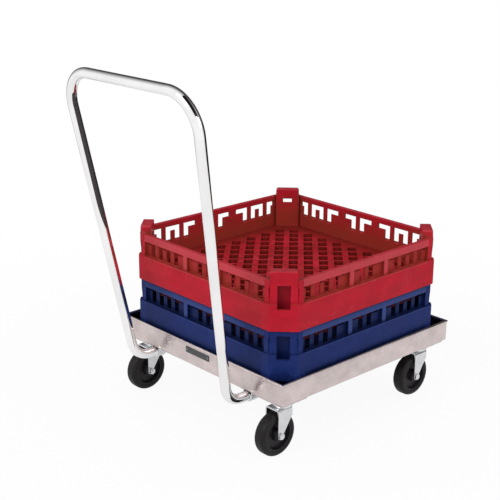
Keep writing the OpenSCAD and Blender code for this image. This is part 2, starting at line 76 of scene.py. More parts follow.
# Dark cards that the chrome reflects: name, place, facing, size and colour
CARDS = (
    ("back_card", (0.35, 1.25, 0.52), (0, -1, 0), (1.9, 1.0), (0.02, 0.02, 0.02)),
    ("leg_card", (0.0, -0.15, 0.60), (-1, 0, 0), (0.6, 0.4), (0.11, 0.10, 0.105)),
    ("bend_card", (0.72, -0.29, 1.56), (-0.53, -0.05, -0.82), (1.2, 1.1), (0.015, 0.012, 0.015)),
)
# The dark part of the room that metal reflects: its bearing and its colour
DARK_BEARING, DARK_ROOM = (-0.45, 0.85, 0.25), (0.06, 0.055, 0.06)
# Light of the room from below and from above, as shares of the ambient light
ROOM_BELOW, ROOM_ABOVE = 0.55, 1.35
# Where each lamp stands and how wide it is, and what both are aimed at
KEY_PLACE, KEY_WIDTH = (0.4, -3.2, 2.8), 2.4
FILL_PLACE, FILL_WIDTH = (3.4, 0.6, 1.9), 2.2
LAMP_TARGET = (0, 0.05, 0.3)
# Width of the camera's film in millimetres
FILM_WIDTH = 36


def colour(name, description, value):
    """A property for a finish's colour."""
    return FloatVectorProperty(
        name=name, description=description, default=value, subtype="COLOR", size=3, min=0, max=1
    )


def length(name, description, value):
    """A property for a length in metres."""
    return FloatProperty(
        name=name, description=description, default=value, unit="LENGTH", precision=5, min=0
    )


def angle(name, description, degrees):
    """A property for an angle, with its default in degrees."""
    return FloatProperty(
        name=name, description=description, default=math.radians(degrees), subtype="ANGLE"
    )


def amount(name, description, value, unit="NONE"):
    """A property for a strength or a power."""
    return FloatProperty(name=name, description=description, default=value, unit=unit, min=0)


class DollyFinishes(bpy.types.PropertyGroup):
    """Colours of the dolly's finishes."""

    aluminium: colour("Aluminium", "Satin aluminium of the frame", (0.66, 0.57, 0.565))
    chrome: colour("Chrome", "Bright plating of the push handle", (0.90, 0.89, 0.89))
    zinc: colour("Zinc", "Zinc plate of the casters and fasteners", (0.72, 0.725, 0.74))
    steel: colour("Steel", "Ground steel of the balls and bushes", (0.55, 0.55, 0.56))
    rubber: colour("Rubber", "Tyres", (0.006, 0.005, 0.006))
    core: colour("Wheel core", "Moulded wheel centres", (0.010, 0.008, 0.010))
    plug: colour("Plugs", "Plugs in the ends of the handle's feet", (0.02, 0.02, 0.02))
    blue: colour("Blue rack", "Plastic of the lower rack", (0.010, 0.024, 0.140))
    # The worn colours tint the scuffs and also the painted light on a rack's outward faces; the soiled
    # and streaked colours are painted shade in the rack's recesses, on its base and on its set-back
    # panels, and the soiled ones also tint settled dust
    blue_scuffed_and_lit: colour("Blue rack, worn", "Scuffs on the lower rack", (0.10, 0.16, 0.42))
    blue_shade_and_dirt: colour("Blue rack, soiled", "Dirt in the lower rack", (0.003, 0.008, 0.032))
    red: colour("Red rack", "Plastic of the upper rack", (0.50, 0.010, 0.026))
    red_scuffed_and_lit: colour("Red rack, worn", "Scuffs on the upper rack", (0.70, 0.16, 0.18))
    red_shade_and_dirt: colour("Red rack, soiled", "Dirt low in the upper rack", (0.12, 0.018, 0.007))
    red_wall_shade: colour("Red rack, streaked", "Dirt on its walls", (0.29, 0.046, 0.024))
    plate: colour("Plate", "Bare plate on the frame", (0.040, 0.042, 0.044))


class DollySizes(bpy.types.PropertyGroup):
    """Sizes of the pieces that the scene adds, and of the wear, dirt, painted light and painted shade
    on the racks.
    """

    plate_width: length("Plate width", "Length of the bare plate along the rail", 0.078)
    plate_height: length("Plate height", "Height of the bare plate", 0.014)
    plate_thickness: length("Plate thickness", "Thickness of the bare plate", 0.0009)
    plate_drop: length("Plate drop", "From the rail's upper edge to the plate", 0.0098)
    rivet_radius: length("Rivet radius", "Radius of the plate's rivets", 0.0021)
    rack_edge: length("Rack edge", "Rounding of the racks' moulded edges", 0.001)
    # Painted shade covers a rack's base up to this height
    shaded_base: length("Soiled base", "Height of a rack's soiled base above its foot", 0.038)
    floor_reach: length("Floor reach", "From a rack's middle to the edge of its floor grid", 0.22)
    floor_top: length("Floor top", "Height of a rack's floor above its foot", 0.068)
    # Above this height a rack's outward faces get painted light and its set-back panels painted shade
    light_and_shade_level: length("Pale wall", "Height above a rack's foot where its wall turns pale", 0.0945)
    post_reach: length("Post reach", "From a rack's middle to its posts, both ways added up", 0.452)
    wall_reach: length("Wall reach", "From a rack's middle to just outside its set-back wall", 0.250)
    rubbed_rim: length("Rubbed rim", "Depth of the rubbed rim below a rack's top", 0.025)


class DollyStage(bpy.types.PropertyGroup):
    """Camera and light."""

    azimuth: angle("Azimuth", "Bearing of the camera from +X", -42.627)
    elevation: angle("Elevation", "Height of the camera above level", 18.141)
    roll: angle("Roll", "Tilt of the camera about its axis", 0.269)
    place: FloatVectorProperty(
        name="Place", description="Where the camera stands", default=(1.68865, -1.57591, 1.12097),
        subtype="XYZ", unit="LENGTH",
    )
    lens: amount("Lens", "Focal length in millimetres", 78.33, "CAMERA")
    ambient: amount("Ambient", "Strength of the light from all round", 0.62)
    key: amount("Key", "Power of the main lamp in watts", 52.0, "POWER")
    fill: amount("Fill", "Power of the fill lamp in watts", 22.0, "POWER")


def add(tree, kind, **inputs):
    """A node whose input sockets are set by name, with spaces written as underscores."""
    node = tree.nodes.new(kind)
    for name, value in inputs.items():
        node.inputs[name.replace("_", " ")].default_value = value
    return node


def maths(tree, operation, first, second):
    """A Math node; each operand is a socket or a number."""
    node = tree.nodes.new("ShaderNodeMath")
    node.operation = operation
    for socket, value in zip(node.inputs, (first, second)):
        if isinstance(value, (int, float)):
            socket.default_value = value
        else:
            tree.links.new(value, socket)
    return node.outputs[0]


def spread(tree, value, low, high, start, end):
    """Maps a value from low..high to start..end, clamped."""
    node = tree.nodes.new("ShaderNodeMapRange")
    for socket, number in zip(node.inputs[1:5], (low, high, start, end)):
        socket.default_value = number
    tree.links.new(value, node.inputs[0])
    return node.outputs[0]


def contrast(tree, noise, start=0.0, end=1.0):
    """Maps what a noise mostly puts out to start..end."""
    return spread(tree, noise, NOISE_LOW, NOISE_HIGH, start, end)


def tint(tree, factor, first, second):
    """Mixes two colours by a socket; each colour is a socket or three numbers."""
    node = tree.nodes.new("ShaderNodeMix")
    node.data_type = "RGBA"
    tree.links.new(factor, node.inputs[0])
    for socket, value in ((node.inputs[6], first), (node.inputs[7], second)):
        if isinstance(value, bpy.types.NodeSocket):
            tree.links.new(value, socket)
        else:
            socket.default_value = (*value, 1)
    return node.outputs[2]


def emptied(owner):
    """The node tree of a material or a world, with nothing in it."""
    owner.use_nodes = True
    owner.node_tree.nodes.clear()
    return owner.node_tree


def put_out(tree, kind, factor, first, second):
    """Mixes two shaders by a factor into an output node of that kind."""
    blend = tree.nodes.new("ShaderNodeMixShader")
    out = tree.nodes.new(kind)
    for value, socket in zip((factor, first.outputs[0], second.outputs[0]), blend.inputs):
        tree.links.new(value, socket)
    tree.links.new(blend.outputs[0], out.inputs["Surface"])


def new_group(name, inputs, outputs):
    """An empty shader node group with its sockets; returns the tree and its two end nodes."""
    tree = bpy.data.node_groups.new(name, "ShaderNodeTree")
    for label, kind, value in inputs:
        socket = tree.interface.new_socket(label, in_out="INPUT", socket_type=kind)
        if value is not None:
            socket.default_value = value
    for label, kind in outputs:
        tree.interface.new_socket(label, in_out="OUTPUT", socket_type=kind)
    return tree, tree.nodes.new("NodeGroupInput"), tree.nodes.new("NodeGroupOutput")


def grain_group():
    """Noise drawn out by a stretch along each axis: brush lines, mould grain or mottling."""
    tree, start, end = new_group(
        "Grain",
        [
            ("Vector", "NodeSocketVector", None),
            ("Stretch", "NodeSocketVector", (100, 100, 100)),
            ("Detail", "NodeSocketFloat", 4.0),
        ],
        [("Value", "NodeSocketFloat")],
    )
    scaled = tree.nodes.new("ShaderNodeVectorMath")
    scaled.operation = "MULTIPLY"
    noise = add(tree, "ShaderNodeTexNoise", Scale=1.0, Roughness=0.6)
    tree.links.new(start.outputs["Vector"], scaled.inputs[0])
    tree.links.new(start.outputs["Stretch"], scaled.inputs[1])
    tree.links.new(scaled.outputs[0], noise.inputs["Vector"])
    tree.links.new(start.outputs["Detail"], noise.inputs["Detail"])
    tree.links.new(noise.outputs["Fac"], end.inputs["Value"])
    return tree


def scuff_group():
    """Short scratches in patches, as a mask."""
    tree, start, end = new_group(
        "Scuffs",
        [
            ("Vector", "NodeSocketVector", None),
            ("Scale", "NodeSocketFloat", 60.0),
            ("Amount", "NodeSocketFloat", 0.3),
        ],
        [("Mask", "NodeSocketFloat")],
    )
    bent = add(tree, "ShaderNodeTexNoise", Detail=2.0)
    tree.links.new(start.outputs["Vector"], bent.inputs["Vector"])
    tree.links.new(start.outputs["Scale"], bent.inputs["Scale"])
    lines = add(tree, "ShaderNodeTexVoronoi")
    lines.feature = "DISTANCE_TO_EDGE"
    shifted = tree.nodes.new("ShaderNodeVectorMath")
    shifted.operation = "MULTIPLY_ADD"
    shifted.inputs[1].default_value = (0.02, 0.02, 0.02)
    tree.links.new(bent.outputs["Color"], shifted.inputs[0])
    tree.links.new(start.outputs["Vector"], shifted.inputs[2])
    tree.links.new(shifted.outputs[0], lines.inputs["Vector"])
    tree.links.new(start.outputs["Scale"], lines.inputs["Scale"])
    thin = spread(tree, lines.outputs["Distance"], 0.0, 0.035, 1.0, 0.0)
    patch = add(tree, "ShaderNodeTexNoise", Detail=3.0)
    tree.links.new(start.outputs["Vector"], patch.inputs["Vector"])
    tree.links.new(maths(tree, "MULTIPLY", start.outputs["Scale"], 0.35), patch.inputs["Scale"])
    area = spread(tree, patch.outputs["Fac"], 0.52, 0.68, 0.0, 1.0)
    mask = maths(tree, "MULTIPLY", maths(tree, "MULTIPLY", thin, area), start.outputs["Amount"])
    tree.links.new(mask, end.inputs["Mask"])
    return tree


def dust_group():
    """Settled dust: more on faces that look up, broken by noise, as a mask."""
    tree, start, end = new_group(
        "Dust",
        [
            ("Vector", "NodeSocketVector", None),
            ("Scale", "NodeSocketFloat", 25.0),
            ("Amount", "NodeSocketFloat", 0.2),
        ],
        [("Mask", "NodeSocketFloat")],
    )
    facing = tree.nodes.new("ShaderNodeNewGeometry")
    parts = tree.nodes.new("ShaderNodeSeparateXYZ")
    tree.links.new(facing.outputs["Normal"], parts.inputs[0])
    up = spread(tree, parts.outputs["Z"], 0.1, 0.9, 0.15, 1.0)
    noise = add(tree, "ShaderNodeTexNoise", Detail=5.0, Roughness=0.65)
    tree.links.new(start.outputs["Vector"], noise.inputs["Vector"])
    tree.links.new(start.outputs["Scale"], noise.inputs["Scale"])
    broken = spread(tree, noise.outputs["Fac"], 0.4, 0.75, 0.0, 1.0)
    mask = maths(tree, "MULTIPLY", maths(tree, "MULTIPLY", up, broken), start.outputs["Amount"])
    tree.links.new(mask, end.inputs["Mask"])
    return tree


def painted_shade_group():
    """Painted shade in recesses: more where the shape closes in, broken by noise, as a mask."""
    tree, start, end = new_group(
        "Painted shade",
        [
            ("Vector", "NodeSocketVector", None),
            ("Reach", "NodeSocketFloat", 0.02),
            ("Amount", "NodeSocketFloat", 0.5),
        ],
        [("Mask", "NodeSocketFloat")],
    )
    shade_in_hollows = tree.nodes.new("ShaderNodeAmbientOcclusion")
    tree.links.new(start.outputs["Reach"], shade_in_hollows.inputs["Distance"])
    deep = spread(tree, shade_in_hollows.outputs["AO"], 0.62, 0.97, 1.0, 0.0)
    noise = add(tree, "ShaderNodeTexNoise", Scale=45.0, Detail=4.0)
    tree.links.new(start.outputs["Vector"], noise.inputs["Vector"])
    broken = contrast(tree, noise.outputs["Fac"], 0.75, 1.0)
    mask = maths(tree, "MULTIPLY", maths(tree, "MULTIPLY", deep, broken), start.outputs["Amount"])
    tree.links.new(mask, end.inputs["Mask"])
    return tree


def polish_group():
    """Faces that look up, above a level: what hands and other racks rub bright, as a mask."""
    tree, start, end = new_group(
        "Polish",
        [("Vector", "NodeSocketVector", None), ("Level", "NodeSocketFloat", 0.0)],
        [("Mask", "NodeSocketFloat")],
    )
    facing = tree.nodes.new("ShaderNodeNewGeometry")
    turned = tree.nodes.new("ShaderNodeSeparateXYZ")
    place = tree.nodes.new("ShaderNodeSeparateXYZ")
    tree.links.new(facing.outputs["Normal"], turned.inputs[0])
    tree.links.new(start.outputs["Vector"], place.inputs[0])
    above = maths(tree, "GREATER_THAN", place.outputs["Z"], start.outputs["Level"])
    looks_up = spread(tree, turned.outputs["Z"], 0.2, 0.8, 0.0, 1.0)
    mask = maths(tree, "MULTIPLY", above, looks_up)
    tree.links.new(mask, end.inputs["Mask"])
    return tree


def above_group():
    """What lies above a level, as a mask with a narrow soft edge."""
    tree, start, end = new_group(
        "Above",
        [("Vector", "NodeSocketVector", None), ("Level", "NodeSocketFloat", 0.0)],
        [("Mask", "NodeSocketFloat")],
    )
    place = tree.nodes.new("ShaderNodeSeparateXYZ")
    tree.links.new(start.outputs["Vector"], place.inputs[0])
    over = maths(tree, "SUBTRACT", place.outputs["Z"], start.outputs["Level"])
    tree.links.new(spread(tree, over, -0.001, 0.001, 0.0, 1.0), end.inputs["Mask"])
    return tree


def outside_group():
    """Upright faces that look away from a middle, up to the corners.

    The masks are what stands out, what is set back, and the posts at the corners with their hollows.
    """
    tree, start, end = new_group(
        "Outside",
        [
            ("Vector", "NodeSocketVector", None),
            ("Middle", "NodeSocketVector", (0, 0, 0)),
            ("Corner", "NodeSocketFloat", 0.45),
            ("Depth", "NodeSocketFloat", 0.25),
        ],
        [(mask, "NodeSocketFloat") for mask in ("Proud", "Recess", "Post")],
    )
    offset, level, outward, apart = (tree.nodes.new("ShaderNodeVectorMath") for _ in range(4))
    offset.operation, level.operation = "SUBTRACT", "MULTIPLY"
    outward.operation, apart.operation = "DOT_PRODUCT", "ABSOLUTE"
    level.inputs[1].default_value = (1, 1, 0)
    tree.links.new(start.outputs["Vector"], offset.inputs[0])
    tree.links.new(start.outputs["Middle"], offset.inputs[1])
    tree.links.new(offset.outputs[0], level.inputs[0])
    tree.links.new(tree.nodes.new("ShaderNodeNewGeometry").outputs["Normal"], outward.inputs[0])
    tree.links.new(level.outputs[0], outward.inputs[1])
    tree.links.new(level.outputs[0], apart.inputs[0])
    parts = tree.nodes.new("ShaderNodeSeparateXYZ")
    tree.links.new(apart.outputs[0], parts.inputs[0])
    along = maths(tree, "ADD", parts.outputs["X"], parts.outputs["Y"])
    walls = maths(tree, "LESS_THAN", along, start.outputs["Corner"])
    looks_out = spread(tree, outward.outputs["Value"], 0.05, 0.15, 0.0, 1.0)
    mask = maths(tree, "MULTIPLY", walls, looks_out)
    far = maths(tree, "MAXIMUM", parts.outputs["X"], parts.outputs["Y"])
    proud = maths(tree, "MULTIPLY", mask, maths(tree, "GREATER_THAN", far, start.outputs["Depth"]))
    tree.links.new(proud, end.inputs["Proud"])
    corner = maths(tree, "SUBTRACT", start.outputs["Corner"], POST_DEPTH)
    depth = maths(tree, "SUBTRACT", start.outputs["Depth"], WALL_DEPTH)
    by_corner = maths(tree, "GREATER_THAN", along, corner)
    hollow = maths(tree, "MULTIPLY", by_corner, maths(tree, "LESS_THAN", far, depth))
    solid = maths(tree, "SUBTRACT", 1.0, hollow)
    recess = maths(tree, "MULTIPLY", maths(tree, "SUBTRACT", mask, proud), solid)
    tree.links.new(recess, end.inputs["Recess"])
    post = maths(tree, "MAXIMUM", maths(tree, "SUBTRACT", 1.0, walls), hollow)
    tree.links.new(maths(tree, "MULTIPLY", post, looks_out), end.inputs["Post"])
    return tree


def effect(name, build):
    """The shared node group of that name, built on first use."""
    return bpy.data.node_groups.get(name) or build()


class Finish:
    """A material under construction: its tree, its Principled shader and its Object coordinates."""

    def __init__(self, name, metallic=0.0, **sockets):
        self.material = bpy.data.materials.new(name)
        self.material.use_nodes = True
        self.tree = self.material.node_tree
        self.shader = self.tree.nodes["Principled BSDF"]
        self.shader.inputs["Metallic"].default_value = metallic
        for label, value in sockets.items():
            self.shader.inputs[label.replace("_", " ")].default_value = value
        self.coordinates = self.tree.nodes.new("ShaderNodeTexCoord").outputs["Object"]

    def group(self, name, build, **inputs):
        """Places a shared node group and returns its first output."""
        node = self.tree.nodes.new("ShaderNodeGroup")
        node.node_tree = effect(name, build)
        self.tree.links.new(self.coordinates, node.inputs["Vector"])
        for label, value in inputs.items():
            node.inputs[label].default_value = value
        return node.outputs[0]

    def grain(self, stretch, detail=4.0):
        return self.group("Grain", grain_group, Stretch=stretch, Detail=detail)

    def scuffs(self, scale, amount):
        return self.group("Scuffs", scuff_group, Scale=scale, Amount=amount)

    def dust(self, scale, amount):
        return self.group("Dust", dust_group, Scale=scale, Amount=amount)

    # Painted shade in recesses, as a mask
    def painted_shade(self, reach, amount):
        return self.group("Painted shade", painted_shade_group, Reach=reach, Amount=amount)

    def outside(self, middle, corner, depth):
        """The masks of what stands out, of what is set back and of the posts."""
        proud = self.group("Outside", outside_group, Middle=middle, Corner=corner, Depth=depth)
        return proud, proud.node.outputs["Recess"], proud.node.outputs["Post"]

    def above(self, level):
        return self.group("Above", above_group, Level=level)

    def polish(self, level):
        return self.group("Polish", polish_group, Level=level)

    def feed(self, label, socket):
        """Links a socket to an input of the shader."""
        self.tree.links.new(socket, self.shader.inputs[label])

    def bump(self, height, distance, strength):
        """Raises the surface by a height, through the shader's normal."""
        node = add(self.tree, "ShaderNodeBump", Strength=strength, Distance=distance)
        self.tree.links.new(height, node.inputs["Height"])
        self.feed("Normal", node.outputs["Normal"])


def shade(base, share):
    """A colour made lighter or darker by a share."""
    return tuple(min(1.0, max(0.0, c * share)) for c in base)


def satin_aluminium(name, base, stretch):
    """Extruded aluminium with fine lines along the rail, soft blotches, a few scratches and painted
    shade in its recesses.
    """
    made = Finish(name, metallic=1.0)
    tree = made.tree
    lines = made.grain(stretch)
    blotch = made.grain((24, 24, 30), 5.0)
    scratch = made.scuffs(55.0, 0.6)
    tone = tint(tree, contrast(tree, blotch), shade(base, 0.84), shade(base, 1.10))
    bright = tint(tree, scratch, tone, shade(base, 1.25))
    # Painted shade: the colour darkens towards a dark copy where the shape closes in
    made.feed("Base Color", tint(tree, made.painted_shade(0.04, 0.45), bright, shade(base, 0.12)))
    rough = maths(tree, "ADD", contrast(tree, lines, 0.16, 0.26), contrast(tree, blotch, 0.0, 0.08))
    made.feed("Roughness", maths(tree, "ADD", rough, maths(tree, "MULTIPLY", scratch, 0.2)))
    made.bump(lines, 0.00004, 0.6)
    return made.material


def bright_chrome(base):
    """Plated tube with faint smears and hairline scratches."""
    made = Finish("bright_chrome", metallic=1.0)
    tree = made.tree
    smear = made.grain((18, 18, 9), 5.0)
    scratch = made.scuffs(90.0, 0.5)
    smeared = spread(tree, smear, 0.35, 0.7, 0.0, 1.0)
    made.feed("Base Color", tint(tree, smeared, shade(base, 1.04), shade(base, 0.94)))
    rough = spread(tree, smear, 0.35, 0.7, 0.045, 0.11)
    made.feed("Roughness", maths(tree, "ADD", rough, maths(tree, "MULTIPLY", scratch, 0.18)))
    made.bump(scratch, 0.00002, 0.3)
    return made.material


def plated_steel(name, base, low, high):
    """Zinc plate or ground steel: a cloudy sheen with dull spots and scratches."""
    made = Finish(name, metallic=1.0)
    tree = made.tree
    cloud = made.grain((70, 70, 70), 5.0)
    scratch = made.scuffs(160.0, 0.7)
    dirt = made.dust(60.0, 0.35)
    tone = tint(tree, contrast(tree, cloud), shade(base, 0.88), shade(base, 1.08))
    made.feed("Base Color", tint(tree, dirt, tone, shade(base, 0.55)))
    rough = maths(tree, "ADD", contrast(tree, cloud, low, high), maths(tree, "MULTIPLY", scratch, 0.2))
    made.feed("Roughness", rough)
    made.bump(cloud, 0.00006, 0.4)
    return made.material


def tyre_rubber(base):
    """Matt black rubber, greyed by floor dust."""
    made = Finish("tyre_rubber", Specular_IOR_Level=0.22)
    tree = made.tree
    pores = made.grain((900, 900, 900), 3.0)
    worn = made.grain((45, 45, 45), 5.0)
    dirt = made.dust(90.0, 0.12)
    tone = tint(tree, spread(tree, worn, 0.35, 0.7, 0.0, 1.0), base, shade(base, 2.2))
    made.feed("Base Color", tint(tree, dirt, tone, TYRE_DUST))
    made.feed("Roughness", contrast(tree, worn, 0.42, 0.62))
    made.bump(pores, 0.00008, 0.5)
    return made.material


def black_moulding(name, base):
    """Black moulded plastic with a fine grain."""
    made = Finish(name, Specular_IOR_Level=0.25)
    tree = made.tree
    pores = made.grain((1400, 1400, 1400), 2.0)
    worn = made.scuffs(140.0, 0.5)
    cloud = made.grain((60, 60, 60), 4.0)
    tone = tint(tree, contrast(tree, cloud), base, shade(base, 1.6))
    made.feed("Base Color", tint(tree, worn, tone, shade(base, 4.0)))
    made.feed("Roughness", contrast(tree, cloud, 0.36, 0.5))
    made.bump(pores, 0.00004, 0.5)
    return made.material


def moulded_polypropylene(name, base, pale, low_shade_and_dirt, wall_shade, levels, middle, corner, depth):
    """Satin moulded plastic with mottling, mould grain and pale scuffs.

    Its recesses, its base and its set-back panels get painted shade, and below the floor settled dust
    too, in one colour up to the floor and another above it. The levels are where the shaded base ends,
    the top of the floor, where the wall gets painted light on what stands out and painted shade on what
    is set back, up to the corners, and where the polished rim begins.
    """
    made = Finish(name, Specular_IOR_Level=0.09, Coat_Roughness=0.4)
    tree = made.tree
    pores = made.grain((1100, 1100, 1100), 2.0)
    flow = made.grain((16, 16, 30), 5.0)
    worn = made.scuffs(75.0, 0.30)
    dirt = made.dust(40.0, 0.05)
    tone = tint(tree, contrast(tree, flow), shade(base, 0.86), shade(base, 1.14))
    base_top, floor, wall, rim = levels
    proud, recess, post = made.outside(middle, corner, depth)
    # Painted shade in the rack's hollows, kept off its posts
    shade_in_hollows = maths(tree, "MULTIPLY", made.painted_shade(0.11, 0.85), maths(tree, "SUBTRACT", 1.0, post))
    # Painted shade on the rack's base, below a level
    below = maths(tree, "SUBTRACT", 1.0, made.above(base_top))
    raised = made.above(floor)
    inside = maths(tree, "SUBTRACT", 1.0, raised)
    settled = maths(tree, "MULTIPLY", made.dust(60.0, 0.8), inside)
    # Painted shade together with settled dust
    shade_and_dust = maths(tree, "MAXIMUM", shade_in_hollows, settled)
    shade_and_dirt = maths(tree, "MAXIMUM", shade_and_dust, maths(tree, "MULTIPLY", below, 0.8))
    windowed = made.above(wall)
    # Painted light: the outward faces above the level turn pale where no painted shade lies
    lit_outside = maths(tree, "MULTIPLY", proud, spread(tree, shade_in_hollows, 0.0, 0.3, 0.3, 0.0))
    brightened = maths(tree, "MULTIPLY", windowed, lit_outside)
    # Painted shade on the set-back window panels above the level
    shaded_panels = maths(tree, "MULTIPLY", windowed, maths(tree, "MULTIPLY", recess, 0.5))
    shade_and_dirt = maths(tree, "MAXIMUM", shade_and_dirt, shaded_panels)
    # Pale scuffs, and the painted light on the outward faces
    scuffed_and_lit = tint(tree, worn, tint(tree, brightened, tone, pale), pale)
    dusty = tint(tree, dirt, scuffed_and_lit, RACK_DUST)
    # Painted shade and dirt take one colour up to the floor and another above it
    made.feed("Base Color", tint(tree, shade_and_dirt, dusty, tint(tree, raised, low_shade_and_dirt, wall_shade)))
    rough = maths(tree, "ADD", contrast(tree, flow, 0.34, 0.46), maths(tree, "MULTIPLY", worn, 0.25))
    made.feed("Roughness", rough)
    made.feed("Coat Weight", made.polish(rim))
    made.bump(pores, 0.00005, 0.45)
    return made.material


def finish_nodes(names, material):
    """Gives CAD nodes their material."""
    for name in names:
        mesh = nodes[name].data
        mesh.materials.clear()
        mesh.materials.append(material)


def numbered(*names):
    """The four numbered nodes of each name."""
    return [f"{name}_{i}" for name in names for i in range(1, 5)]


def add_object(name, shape, material):
    """Turns a bmesh into an object in the scene."""
    mesh = bpy.data.meshes.new(name)
    shape.to_mesh(mesh)
    shape.free()
    mesh.materials.append(material)
    made = bpy.data.objects.new(name, mesh)
    bpy.context.scene.collection.objects.link(made)
    return made


def add_piece(name, shape, body, material):
    """Turns a bmesh into a piece that rides on a body."""
    piece = add_object(name, shape, material)
    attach(piece, body)
    return piece


class DOLLY_OT_stage(bpy.types.Operator):
    """Make the floor, the light and the camera"""

    bl_idname = "rack_dolly.stage"
    bl_label = "Stage"

    def execute(self, context):
        stage = context.scene.rack_dolly_stage
        context.scene.view_settings.view_transform = "Standard"
        self.floor()
        self.world(context, stage.ambient)
        for name, place, facing, size, tone in CARDS:
            self.card(name, place, facing, size, tone)
        self.lamp(context, "key", KEY_PLACE, KEY_WIDTH, stage.key)
        self.lamp(context, "fill", FILL_PLACE, FILL_WIDTH, stage.fill)
        self.camera(context, stage)
        return {"FINISHED"}

    def floor(self):
        """A pale disc that keeps the shadow and is white to the camera farther out."""
        pale = bpy.data.materials.new("pale_floor")
        tree = emptied(pale)
        matt = add(tree, "ShaderNodeBsdfDiffuse", Color=FLOOR_COLOUR)
        glow = add(tree, "ShaderNodeEmission", Color=(1, 1, 1, 1), Strength=1.0)
        path = tree.nodes.new("ShaderNodeLightPath")
        reach = tree.nodes.new("ShaderNodeVectorMath")
        reach.operation = "LENGTH"
        tree.links.new(tree.nodes.new("ShaderNodeTexCoord").outputs["Object"], reach.inputs[0])
        white = spread(tree, reach.outputs["Value"], *FLOOR_WHITENS, *FLOOR_WHITE)
        looked_at = maths(tree, "MULTIPLY", path.outputs["Is Camera Ray"], white)
        mirrored = maths(tree, "MULTIPLY", path.outputs["Is Glossy Ray"], FLOOR_MIRRORED)
        seen = maths(tree, "ADD", looked_at, mirrored)
        put_out(tree, "ShaderNodeOutputMaterial", seen, matt, glow)
        shape = bmesh.new()
        bmesh.ops.create_circle(shape, cap_ends=True, segments=96, radius=FLOOR_RADIUS)
        floor = add_object("floor", shape, pale)

    def card(self, name, place, facing, size, tone):
        """A dark card that only mirror-like metal sees, from the side it faces, as studios use."""
        dark = bpy.data.materials.new(name)
        tree = emptied(dark)
        matt = add(tree, "ShaderNodeBsdfDiffuse", Color=(*tone, 1))
        clear = tree.nodes.new("ShaderNodeBsdfTransparent")
        side = tree.nodes.new("ShaderNodeNewGeometry")
        put_out(tree, "ShaderNodeOutputMaterial", side.outputs["Backfacing"], matt, clear)
        turn = Vector(facing).to_track_quat("Z", "Y").to_matrix()
        shape = bmesh.new()
        bmesh.ops.create_grid(shape, x_segments=1, y_segments=1, size=0.5)
        bmesh.ops.scale(shape, vec=(*size, 1.0), verts=shape.verts)
        bmesh.ops.rotate(shape, matrix=turn, verts=shape.verts)
        bmesh.ops.translate(shape, vec=place, verts=shape.verts)
        card = add_object(name, shape, dark)
        for ray in ("camera", "diffuse", "transmission", "volume_scatter", "shadow"):
            setattr(card, "visible_" + ray, False)

    def world(self, context, ambient):
        """White to the camera; metal sees that white and a dark part of the room behind the dolly."""
        world = bpy.data.worlds.new("soft_room")
        context.scene.world = world
        tree = emptied(world)
        path = tree.nodes.new("ShaderNodeLightPath")
        seen = maths(tree, "ADD", path.outputs["Is Camera Ray"], path.outputs["Is Glossy Ray"])
        seen = maths(tree, "ADD", seen, path.outputs["Is Transmission Ray"])
        seen = maths(tree, "MINIMUM", seen, 1.0)
        direction = tree.nodes.new("ShaderNodeTexCoord").outputs["Generated"]
        bearing = tree.nodes.new("ShaderNodeVectorMath")
        bearing.operation = "DOT_PRODUCT"
        bearing.inputs[1].default_value = Vector(DARK_BEARING).normalized()
        tree.links.new(direction, bearing.inputs[0])
        behind = spread(tree, bearing.outputs["Value"], 0.0, 0.75, 0.0, 1.0)
        unseen = maths(tree, "SUBTRACT", 1.0, path.outputs["Is Camera Ray"])
        dim = maths(tree, "MULTIPLY", behind, unseen)
        backdrop = add(tree, "ShaderNodeBackground", Strength=1.0)
        tree.links.new(tint(tree, dim, (1, 1, 1), DARK_ROOM), backdrop.inputs["Color"])
        room = add(tree, "ShaderNodeBackground", Color=(1, 1, 1, 1))
        height = tree.nodes.new("ShaderNodeSeparateXYZ")
        tree.links.new(direction, height.inputs[0])
        below, above = ROOM_BELOW * ambient, ROOM_ABOVE * ambient
        overhead = spread(tree, height.outputs["Z"], -0.1, 0.9, below, above)
        tree.links.new(overhead, room.inputs["Strength"])
        put_out(tree, "ShaderNodeOutputWorld", seen, room, backdrop)

    def lamp(self, context, name, place, width, power):
        """A round soft lamp that is aimed at the dolly."""
        light = bpy.data.lights.new(name, "AREA")
        light.shape = "DISK"
        light.size = width
        light.energy = power
        lamp = bpy.data.objects.new(name, light)
        lamp.location = place
        aim = Vector(LAMP_TARGET) - Vector(place)
        lamp.rotation_euler = aim.to_track_quat("-Z", "Y").to_euler()
        context.scene.collection.objects.link(lamp)

    def camera(self, context, stage):
        """The camera of the main view, from its place, bearing, height and roll."""
        back = Vector(
            (
                math.cos(stage.elevation) * math.cos(stage.azimuth),
                math.cos(stage.elevation) * math.sin(stage.azimuth),
                math.sin(stage.elevation),
            )
        )
        level = (-back).cross(Vector((0, 0, 1))).normalized()
        upright = level.cross(-back)
        right = math.cos(stage.roll) * level + math.sin(stage.roll) * upright
        up = math.cos(stage.roll) * upright - math.sin(stage.roll) * level
        data = bpy.data.cameras.new("camera")
        data.lens = stage.lens
        data.sensor_width = FILM_WIDTH
        camera = bpy.data.objects.new("camera", data)
        turn = Matrix((right, up, back)).transposed().to_4x4()
        camera.matrix_world = Matrix.Translation(stage.place) @ turn
        context.scene.collection.objects.link(camera)
        context.scene.camera = camera


class DOLLY_OT_frame_rails(bpy.types.Operator):
    """Finish the angle rails and the corner gussets in satin aluminium"""

    bl_idname = "rack_dolly.frame_rails"
    bl_label = "Frame rails"

    def execute(self, context):
        base = context.scene.rack_dolly_finishes.aluminium
        along_x = satin_aluminium("satin_aluminium_along_x", base, (4, 260, 700))
        along_y = satin_aluminium("satin_aluminium_along_y", base, (260, 4, 700))
        finish_nodes(("rail_handle_side", "rail_far_side"), along_x)
        finish_nodes(("rail_right", "rail_left"), along_y)
        finish_nodes(numbered("gusset"), along_x)
        return {"FINISHED"}


